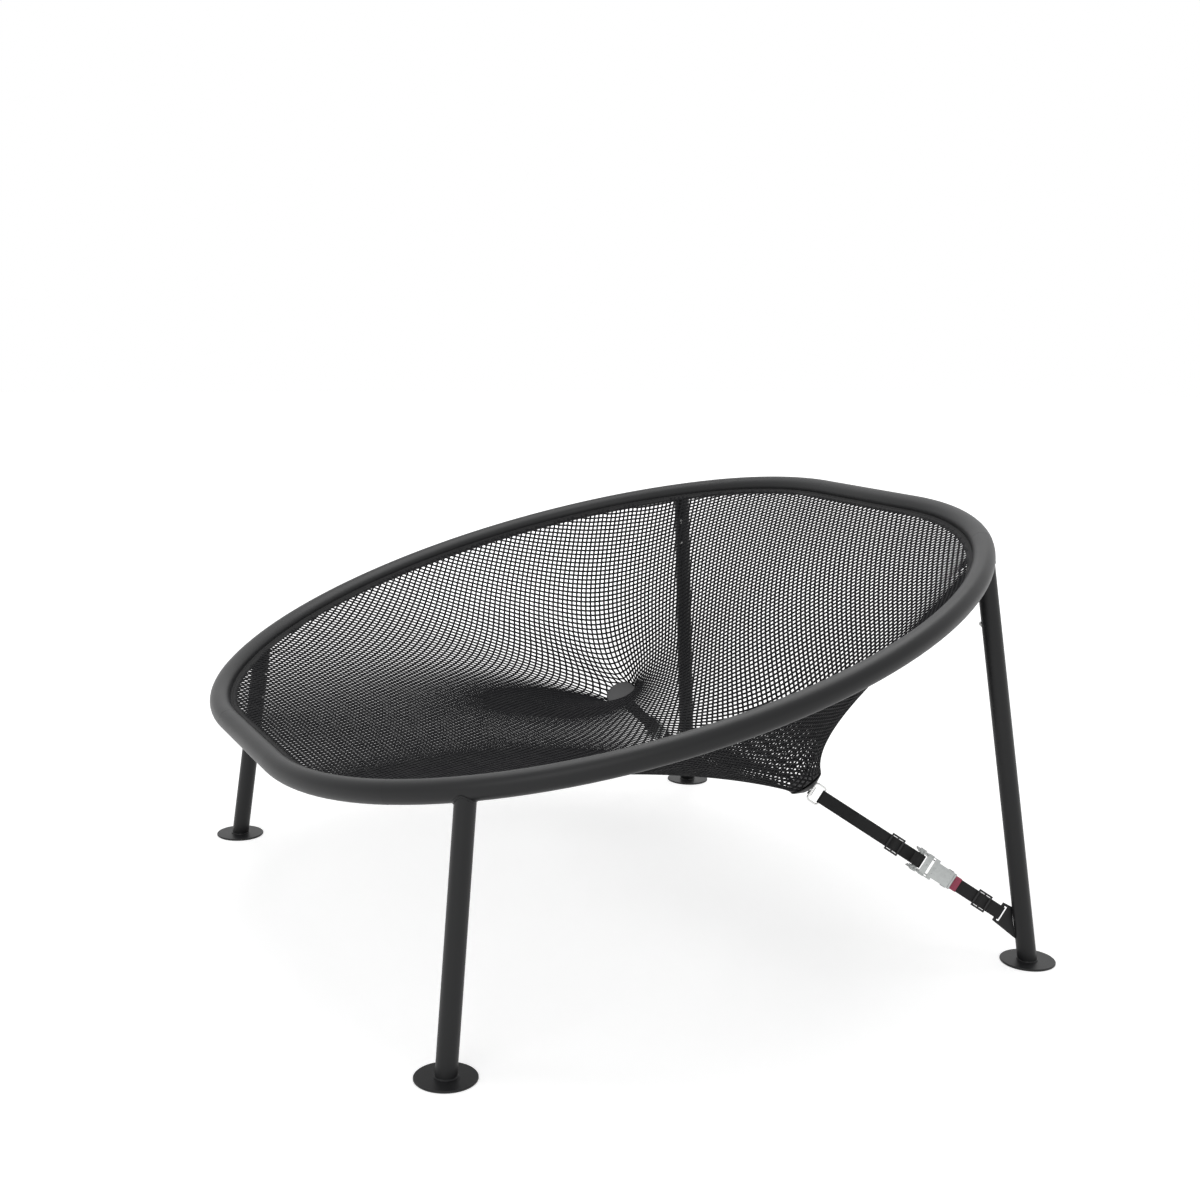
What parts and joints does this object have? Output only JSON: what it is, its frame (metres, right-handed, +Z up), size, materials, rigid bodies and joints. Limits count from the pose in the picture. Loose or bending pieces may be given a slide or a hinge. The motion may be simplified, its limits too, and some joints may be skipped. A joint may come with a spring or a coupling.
{
  "type": "net lounge chair",
  "caption": "Outdoor lounge chair: a tilted tube ring on splayed legs carries a stretched net seat, pulled down into a bowl by ratchet straps tied to the rear legs.",
  "frame": {"origin": "on the floor, below the middle of the ring", "axes": "+X to the left hand of the sitter, +Y to the back of the chair, +Z up"},
  "size_m": [1.646, 1.3606, 0.8028],
  "materials": {
    "tube_coat": "matte anthracite powder coat",
    "raw_steel": "drawn tube",
    "screw_steel": "bright stainless",
    "keder_cord": "matte",
    "net_cord": "knotted cord",
    "hem_tape": "dense woven tape",
    "webbing": "woven webbing",
    "black_plastic": "fine matte",
    "stainless": "polished",
    "zinc_plate": "zinc plated pressed steel",
    "label_cloth": "woven band"
  },
  "bodies": {
    "frame": {"ring_left": "tube_coat", "ring_right": "tube_coat", "ring_sleeve_front": "raw_steel", "ring_sleeve_back": "raw_steel", "keder_left": "keder_cord", "keder_right": "keder_cord", "net_hem": "hem_tape", "net": "net_cord", "socket_front_left": "tube_coat", "socket_front_right": "tube_coat", "socket_rear_left": "tube_coat", "socket_rear_right": "tube_coat", "leg_front_left": "tube_coat", "leg_front_right": "tube_coat", "leg_rear_left": "tube_coat", "leg_rear_right": "tube_coat", "foot_front_left": "tube_coat", "foot_front_right": "tube_coat", "foot_rear_left": "tube_coat", "foot_rear_right": "tube_coat", "leg_screws": "screw_steel", "strap_tab_left": "tube_coat", "strap_tab_right": "tube_coat", "button_left": "black_plastic", "button_right": "black_plastic", "clamp_cup_left": "black_plastic", "clamp_cup_right": "black_plastic", "stud_left": "stainless", "stud_right": "stainless", "wire_loop_left": "stainless", "wire_loop_right": "stainless", "strap_upper_left": "webbing", "strap_upper_right": "webbing", "slider_upper_left": "black_plastic", "slider_upper_right": "black_plastic", "ratchet_frame_left": "zinc_plate", "ratchet_frame_right": "zinc_plate", "fixed_bolt_left": "zinc_plate", "fixed_bolt_right": "zinc_plate", "label_band_left": "label_cloth", "label_band_right": "label_cloth", "strap_lower_left": "webbing", "strap_lower_right": "webbing", "slider_lower_left": "black_plastic", "slider_lower_right": "black_plastic"},
    "spool_right": {"spool_right": "zinc_plate", "ratchet_wheels_right": "zinc_plate", "strap_roll_right": "webbing"},
    "handle_right": {"handle_right": "zinc_plate"},
    "handle_pawl_right": {"handle_pawl_right": "zinc_plate"},
    "base_pawl_right": {"base_pawl_right": "zinc_plate"},
    "spool_left": {"spool_left": "zinc_plate", "ratchet_wheels_left": "zinc_plate", "strap_roll_left": "webbing"},
    "handle_left": {"handle_left": "zinc_plate"},
    "handle_pawl_left": {"handle_pawl_left": "zinc_plate"},
    "base_pawl_left": {"base_pawl_left": "zinc_plate"}
  },
  "joints": [
    {"name": "spool_right_turn", "type": "hinge", "parent": "frame", "child": "spool_right", "pos_m": [0.51409, 0.43953, 0.1782], "axis": [-0.0809, -0.5472, -0.8331], "range_deg": [-180, 180]},
    {"name": "handle_right_swing", "type": "hinge", "parent": "frame", "child": "handle_right", "pos_m": [0.51409, 0.43953, 0.1782], "axis": [-0.0809, -0.5472, -0.8331], "range_deg": [0, 160]},
    {"name": "handle_pawl_right_slide", "type": "slide", "parent": "handle_right", "child": "handle_pawl_right", "axis": [0.5449, 0.6756, -0.4967], "range_m": [-0.002, 0.003]},
    {"name": "base_pawl_right_slide", "type": "slide", "parent": "frame", "child": "base_pawl_right", "axis": [0.5449, 0.6756, -0.4967], "range_m": [-0.0015, 0.003]},
    {"name": "spool_left_turn", "type": "hinge", "parent": "frame", "child": "spool_left", "pos_m": [-0.51409, 0.43953, 0.1782], "axis": [-0.0809, 0.5472, 0.8331], "range_deg": [-180, 180]},
    {"name": "handle_left_swing", "type": "hinge", "parent": "frame", "child": "handle_left", "pos_m": [-0.51409, 0.43953, 0.1782], "axis": [-0.0809, 0.5472, 0.8331], "range_deg": [0, 160]},
    {"name": "handle_pawl_left_slide", "type": "slide", "parent": "handle_left", "child": "handle_pawl_left", "axis": [-0.5449, 0.6756, -0.4967], "range_m": [-0.002, 0.003]},
    {"name": "base_pawl_left_slide", "type": "slide", "parent": "frame", "child": "base_pawl_left", "axis": [-0.5449, 0.6756, -0.4967], "range_m": [-0.0015, 0.003]}
  ]
}
